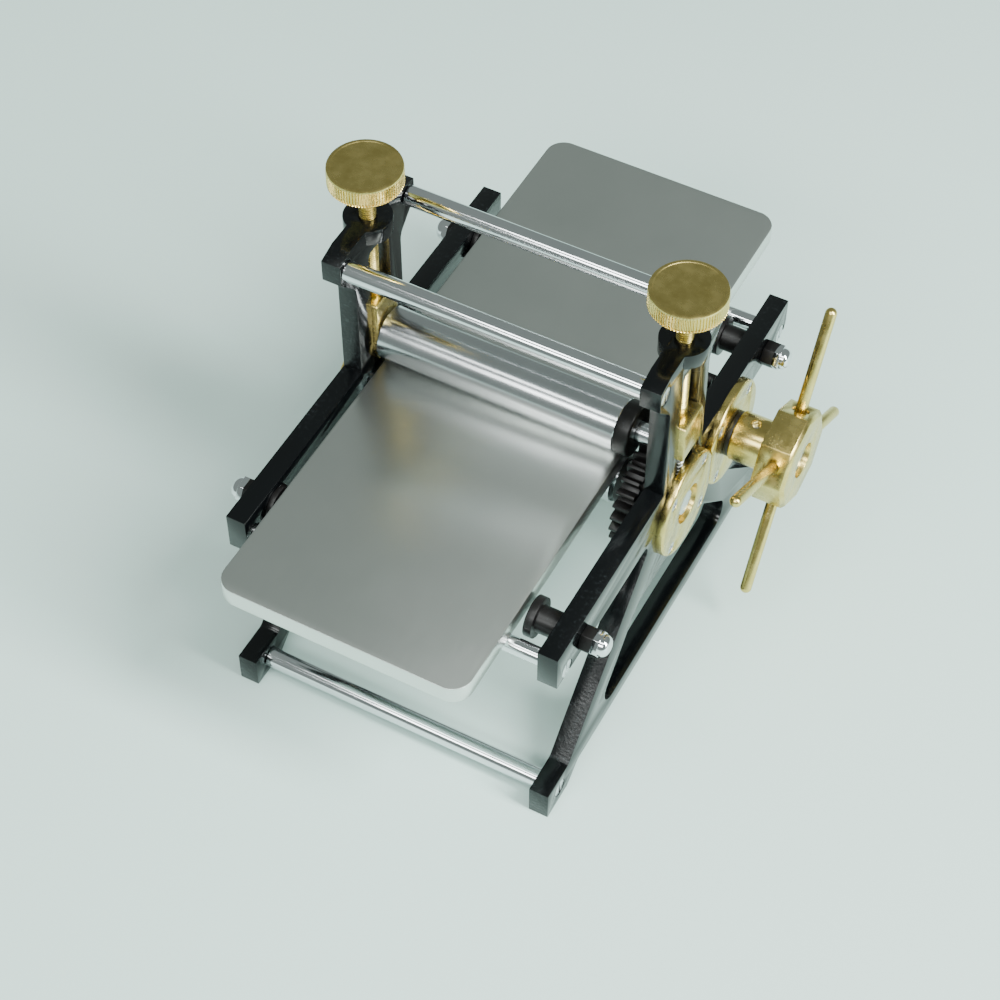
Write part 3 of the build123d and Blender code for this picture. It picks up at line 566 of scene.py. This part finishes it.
class MakeRollers(PressOperator, bpy.types.Operator):
    """Turn the rollers with their journals, and finish the collar and the gears"""

    bl_idname = "press.rollers"
    bl_label = "Rollers and gears"

    def roller(self, node, barrel, journal_radius, edge):
        """Journal, barrel and journal on one axis, with broken edges."""
        low, high = corners(node)
        start, end = barrel
        radius = (high.z - low.z) / 2
        rings = [
            (low.x, journal_radius - edge), (low.x + edge, journal_radius), (start, journal_radius),
            (start, radius - edge), (start + edge, radius), (end - edge, radius), (end, radius - edge),
            (end, journal_radius), (high.x - edge, journal_radius), (high.x, journal_radius - edge),
        ]
        centre = (0, (low.y + high.y) / 2, (low.z + high.z) / 2)
        return lathe(node + "_turned", rings, centre, "X", 128)

    def execute(self, context):
        sizes, colours = self.settings(context)
        edge = 2 * sizes.machined_edge
        steel = ground_steel(colours)
        collar_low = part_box("upper_roller_collar")[0]
        left_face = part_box("bed")[0][0] - 0.2 * MM
        barrel = (left_face, collar_low[0])
        for node, journal in (("upper_roller", sizes.upper_journal), ("lower_roller", sizes.lower_journal)):
            hand_over(self.roller(node, barrel, journal, edge), steel, node)
        black = black_steel(colours)
        machined("upper_roller_collar", sizes.machined_edge, black)
        for node in ("drive_gear", "drive_pinion"):
            machined(node, sizes.tooth_edge, black)
        bright = bright_steel(colours)
        for node in ("drive_gear_set_screw", "pinion_set_screw"):
            machined(node, sizes.tooth_edge, bright)
        return {"FINISHED"}


class MakeBearings(PressOperator, bpy.types.Operator):
    """Finish the brass bearings, each with rings about its own axis, and their screws"""

    bl_idname = "press.bearings"
    bl_label = "Bearings"

    def execute(self, context):
        sizes, colours = self.settings(context)
        shafts = {"left_roller_bearing": "lower_roller", "right_roller_bearing": "lower_roller",
                  "handle_bearing": "handle_shaft"}
        for node, shaft in shafts.items():
            machined(node, sizes.machined_edge, brass(colours, "Brass " + node, middle(shaft), "X"))
        machined("bearing_screws", sizes.tooth_edge, bright_steel(colours))
        return {"FINISHED"}


class MakeFasteners(PressOperator, bpy.types.Operator):
    """Finish the guides, studs, nuts and tie-rod screws"""

    bl_idname = "press.fasteners"
    bl_label = "Guides and fasteners"

    def execute(self, context):
        sizes, colours = self.settings(context)
        black, bright, chrome = black_steel(colours), bright_steel(colours), polished_chrome(colours)
        finishes = {"guide_studs": bright, "tie_rod_screws": bright, "guide_hex_nuts": black,
                    "guide_acorn_nuts": chrome}
        for side in ("left", "right"):
            for end in ("front", "rear"):
                finishes[end + "_" + side + "_bed_guide"] = black
        for node, finish in finishes.items():
            machined(node, sizes.machined_edge, finish)
        return {"FINISHED"}


class MakePressureBlocks(PressOperator, bpy.types.Operator):
    """Finish the brass blocks and the springs under them"""

    bl_idname = "press.pressure_blocks"
    bl_label = "Pressure blocks"

    def execute(self, context):
        sizes, colours = self.settings(context)
        wire = bright_steel(colours)
        for side in ("left", "right"):
            block = side + "_pressure_block"
            machined(block, sizes.machined_edge, brass(colours, "Brass " + block, middle(block), "X"))
            machined(side + "_lift_spring", sizes.tooth_edge / 4, wire)
        return {"FINISHED"}


class MakePressureScrews(PressOperator, bpy.types.Operator):
    """Cut the pressure screws: a plain shank below and a helical thread above"""

    bl_idname = "press.pressure_screws"
    bl_label = "Pressure screws"

    def thread(self, name, radius, depth, pitch, start, end):
        """A helical thread about the Z axis between two heights, cut square at both."""
        activate(None)
        bottom = start - 1.5 * pitch
        bpy.ops.mesh.primitive_plane_add(
            size=pitch, location=(radius + pitch / 2, 0, bottom + pitch / 2), rotation=(pi / 2, 0, 0)
        )
        profile = bpy.context.object
        profile.name = name
        bpy.ops.object.transform_apply(location=True, rotation=True, scale=True)
        select_where(profile, "vertices", lambda v: v.co.x > radius + pitch / 2)
        bpy.ops.mesh.delete(type="VERT")
        edit_all(profile)
        bpy.ops.mesh.subdivide(number_cuts=3)
        select_where(profile, "vertices", lambda v: 0.1 < (v.co.z - bottom) / pitch < 0.6)
        bpy.ops.transform.translate(value=(-depth, 0, 0))
        activate(profile)
        helix = profile.modifiers.new("Helix", "SCREW")
        helix.axis = "Z"
        helix.angle = 2 * pi
        helix.screw_offset = pitch
        helix.iterations = int((end - start) / pitch) + 3
        helix.steps = helix.render_steps = 28
        bpy.ops.object.modifier_apply(modifier=helix.name)
        for height, side in ((start, -1), (end, 1)):
            edit_all(profile)
            bpy.ops.mesh.remove_doubles(threshold=WELD)
            bpy.ops.mesh.bisect(
                plane_co=(0, 0, height), plane_no=(0, 0, side), use_fill=True, clear_outer=True
            )
        return profile

    def execute(self, context):
        sizes, colours = self.settings(context)
        for side in ("left", "right"):
            node = side + "_pressure_screw"
            low, high = corners(node)
            centre = middle(node)
            radius = (high.x - low.x) / 2
            block_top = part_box(side + "_pressure_block")[1][2]
            thread_start = block_top + sizes.thread_clearance
            finish = brass(colours, "Brass " + node, centre, "Z")
            edge = sizes.machined_edge
            tip = sizes.screw_tip
            shoulder = block_top + 0.05 * MM
            rings = [
                (low.z, tip - 0.1 * MM), (low.z + edge, tip), (shoulder, tip),
                (shoulder, radius - edge), (block_top + 2 * edge, radius),
                (thread_start, radius), (thread_start + edge, radius - sizes.thread_depth),
            ]
            shank = lathe(node + "_turned", rings, (centre.x, centre.y, 0), "Z", 48)
            thread = self.thread(node + "_thread", radius, sizes.thread_depth, sizes.thread_pitch,
                                 thread_start + 0.2 * MM, high.z)
            stand_at(thread, (centre.x, centre.y, 0), "Z")
            close_up(thread)
            hand_over(shank, finish, node)
            hand_over(thread, finish, node)
        return {"FINISHED"}


class MakeKnobs(PressOperator, bpy.types.Operator):
    """Turn the knobs and cut a straight knurl between two smooth chamfers"""

    bl_idname = "press.knobs"
    bl_label = "Pressure knobs"

    def execute(self, context):
        sizes, colours = self.settings(context)
        for side in ("left", "right"):
            node = side + "_pressure_knob"
            low, high = corners(node)
            centre = middle(node)
            radius = (high.x - low.x) / 2
            half = (high.z - low.z) / 2
            soft = sizes.knob_chamfer
            step = 0.12 * MM
            top_lip = 0.25 * MM
            rings = [
                (-half, radius - soft), (-half + soft, radius), (-half + soft + step, radius),
                (half - soft - step, radius), (half - soft, radius), (half - soft / 3, radius - soft / 4),
                (half, radius - soft), (half, radius - soft - 2 * top_lip),
                (half - top_lip / 2, radius - soft - 3 * top_lip), (half - top_lip / 2, 0.4 * MM),
            ]
            knob = lathe(node + "_turned", rings, centre, "Z", 4 * sizes.knurl_count)
            self.knurl(knob, centre, half - soft, sizes)
            hand_over(knob, brass(colours, "Brass " + node, centre, "Z"), node)
        return {"FINISHED"}

    def knurl(self, knob, centre, reach, sizes):
        """Pulls two of every four lines of the knurled band in towards the axis."""
        whole = 2 * pi / sizes.knurl_count
        inside = reach - 0.05 * MM

        def is_groove(vertex):
            offset = vertex.co - centre
            turn = (offset.xy.angle_signed(Vector((1, 0))) / whole) % 1
            on_wall = offset.xy.length > 5 * MM
            return on_wall and abs(offset.z) < inside and 0.4 < turn < 0.9

        select_where(knob, "vertices", is_groove)
        radius = max((point.co - centre).xy.length for point in knob.data.vertices)
        factor = 1 - sizes.knurl_depth / radius
        bpy.ops.transform.resize(value=(factor, factor, 1), center_override=tuple(centre))
        activate(knob)
        bpy.ops.object.shade_smooth_by_angle(angle=KNURL_SMOOTH_BELOW)


class MakeHandle(PressOperator, bpy.types.Operator):
    """Finish the shaft, its collar, the sleeve, the hub and the four spokes"""

    bl_idname = "press.handle"
    bl_label = "Handle"

    def execute(self, context):
        sizes, colours = self.settings(context)
        axle = middle("handle_shaft")
        turned = brass(colours, "Brass handle", axle, "X")
        machined("handle_hub", 2 * sizes.machined_edge, turned)
        machined("handle_sleeve", sizes.machined_edge, turned)
        machined("handle_shaft", sizes.machined_edge, ground_steel(colours))
        machined("shaft_collar", sizes.machined_edge, black_steel(colours))
        machined("sleeve_set_screw", sizes.tooth_edge, bright_steel(colours))
        for node in NODE_SLOT:
            if node.startswith("handle_spoke_"):
                machined(node, sizes.tooth_edge, turned)
        return {"FINISHED"}


class MakeStage(PressOperator, bpy.types.Operator):
    """Lay the floor, hang the softboxes, dim the room and set the camera"""

    bl_idname = "press.stage"
    bl_label = "Stage"

    def softbox(self, name, place, size, power, tint):
        """A rectangular area light aimed at the middle of the press."""
        light = bpy.data.lights.new(name, "AREA")
        light.shape = "RECTANGLE"
        light.size, light.size_y = size
        light.energy = power
        light.color = tint
        holder = bpy.data.objects.new(name, light)
        bpy.context.scene.collection.objects.link(holder)
        holder.location = place
        toward = Vector((0, 0, 60 * MM)) - Vector(place)
        holder.rotation_euler = toward.to_track_quat("-Z", "Y").to_euler()

    def execute(self, context):
        stage, colours = context.scene.press_stage, context.scene.press_colours
        activate(None)
        bpy.ops.mesh.primitive_plane_add(size=6, location=(0, 0, 0))
        floor = context.object
        floor.name = "Floor"
        floor.data.materials.append(pale_paper(colours))
        power = stage.light_power
        self.softbox("Window", (1.05, -0.1, 0.95), (0.3, 1.2), power, (0.93, 1.0, 0.97))
        self.softbox("Overhead", (0.1, -0.5, 1.25), (1.2, 0.2), 0.16 * power, (0.95, 1.0, 0.98))
        self.softbox("Fill", (0.1, -1.1, 1.0), (1.2, 0.3), 0.26 * power, (0.95, 1.0, 0.98))
        world = bpy.data.worlds.new("Studio")
        world.use_nodes = True
        background = world.node_tree.nodes["Background"].inputs
        background["Color"].default_value = (0.83, 0.98, 0.92, 1)
        background["Strength"].default_value = stage.room_light
        context.scene.world = world
        camera = bpy.data.cameras.new("Camera")
        camera.lens = stage.lens
        camera.sensor_width = 36.0
        camera.clip_start = 0.01
        holder = bpy.data.objects.new("Camera", camera)
        context.scene.collection.objects.link(holder)
        holder.location = stage.camera_place
        holder.rotation_euler = (pi / 2 - stage.camera_down, 0, stage.camera_turn)
        context.scene.camera = holder
        return {"FINISHED"}


class PressPanel(bpy.types.Panel):
    """Everything the press is made of"""

    bl_label = "Etching press"
    bl_idname = "VIEW3D_PT_etching_press"
    bl_space_type = "VIEW_3D"
    bl_region_type = "UI"
    bl_category = "Press"

    def draw(self, context):
        for group in (context.scene.press_sizes, context.scene.press_colours, context.scene.press_stage):
            box = self.layout.box()
            for name in group.__annotations__:
                box.prop(group, name)
        for operator in OPERATORS:
            self.layout.operator(operator.bl_idname)


OPERATORS = (
    MakeSidePlates, MakeTieRods, MakeBed, MakeRollers, MakeBearings, MakeFasteners,
    MakePressureBlocks, MakePressureScrews, MakeKnobs, MakeHandle, MakeStage,
)
GROUPS = {"press_sizes": PressSizes, "press_colours": PressColours, "press_stage": StageSettings}


def register():
    """Makes the settings, the operators and the panel known to Blender."""
    for name, group in GROUPS.items():
        bpy.utils.register_class(group)
        setattr(bpy.types.Scene, name, bpy.props.PointerProperty(type=group))
    for operator in OPERATORS:
        bpy.utils.register_class(operator)
    bpy.utils.register_class(PressPanel)


def unregister():
    """Takes them all away again."""
    bpy.utils.unregister_class(PressPanel)
    for operator in reversed(OPERATORS):
        bpy.utils.unregister_class(operator)
    for name, group in GROUPS.items():
        delattr(bpy.types.Scene, name)
        bpy.utils.unregister_class(group)


def main():
    """Builds the press piece by piece."""
    register()
    for operator in OPERATORS:
        group, name = operator.bl_idname.split(".")
        getattr(getattr(bpy.ops, group), name)()
    activate(None)


if __name__ == "__main__":
    main()
